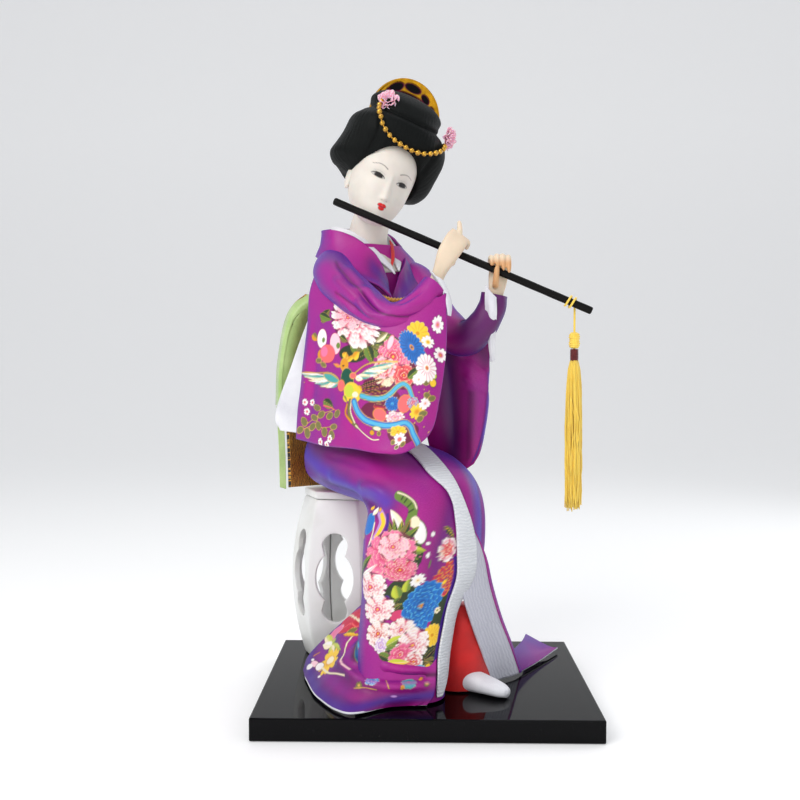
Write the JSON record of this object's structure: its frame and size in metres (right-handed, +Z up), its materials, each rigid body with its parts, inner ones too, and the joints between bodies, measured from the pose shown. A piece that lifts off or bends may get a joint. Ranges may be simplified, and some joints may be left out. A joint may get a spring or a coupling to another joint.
{
  "type": "geisha figurine",
  "caption": "Seated kimono doll playing a transverse flute with a tassel, on a pierced barrel stool on a lacquered rectangular base",
  "frame": {"origin": "centre of the base board's underside", "axes": "+X to the viewer's right and +Y to the back, with the board's front edge at -Y, and +Z up"},
  "size_m": [0.1552, 0.1221, 0.3044],
  "materials": {
    "black_lacquer": "black gloss lacquer",
    "white_paint": "white satin paint",
    "pale_skin": "pale matt skin with painted features",
    "black_hair": "matt black silk floss",
    "gilt": "gilt",
    "pink_petal": "pink crepe",
    "black_flute": "black painted bamboo",
    "yellow_silk": "golden yellow silk thread",
    "maroon_thread": "maroon wound thread",
    "purple_silk": "printed two-tone silk",
    "white_silk": "silvery white ribbed silk",
    "red_silk": "red figured silk",
    "gold_brocade": "gold brocade on black",
    "green_satin": "pale green satin",
    "padding": "wadding under plain cotton"
  },
  "bodies": {
    "root": {"base_board": "black_lacquer", "stool_stave_1": "white_paint", "stool_stave_2": "white_paint", "stool_stave_3": "white_paint", "stool_stave_4": "white_paint", "stool_stave_5": "white_paint", "stool_stave_6": "white_paint", "stool_seat": "white_paint", "head": "pale_skin", "right_hand": "pale_skin", "left_hand": "pale_skin", "hair": "black_hair", "hair_comb": "gilt", "bead_chain": "gilt", "hair_flower_left": "pink_petal", "hair_flower_right": "pink_petal", "flute": "black_flute", "tassel_cord": "yellow_silk", "tassel_knot": "yellow_silk", "tassel_band": "maroon_thread", "tassel_skirt": "yellow_silk", "padded_core": "padding", "kimono_bodice": "purple_silk", "kimono_collar": "purple_silk", "under_collar": "white_silk", "red_collar": "red_silk", "obi_sash": "gold_brocade", "right_sleeve": "purple_silk", "right_sleeve_lining": "white_silk", "right_cuff": "white_silk", "left_sleeve": "purple_silk", "left_cuff": "white_silk", "kimono_skirt": "purple_silk", "lining_edge": "white_silk", "lining_flap": "white_silk", "skirt_corner": "purple_silk", "red_underskirt": "red_silk", "tabi_foot": "white_silk", "obi_bow": "green_satin", "obi_tail": "gold_brocade", "obi_tail_lining": "green_satin"}
  },
  "joints": []
}
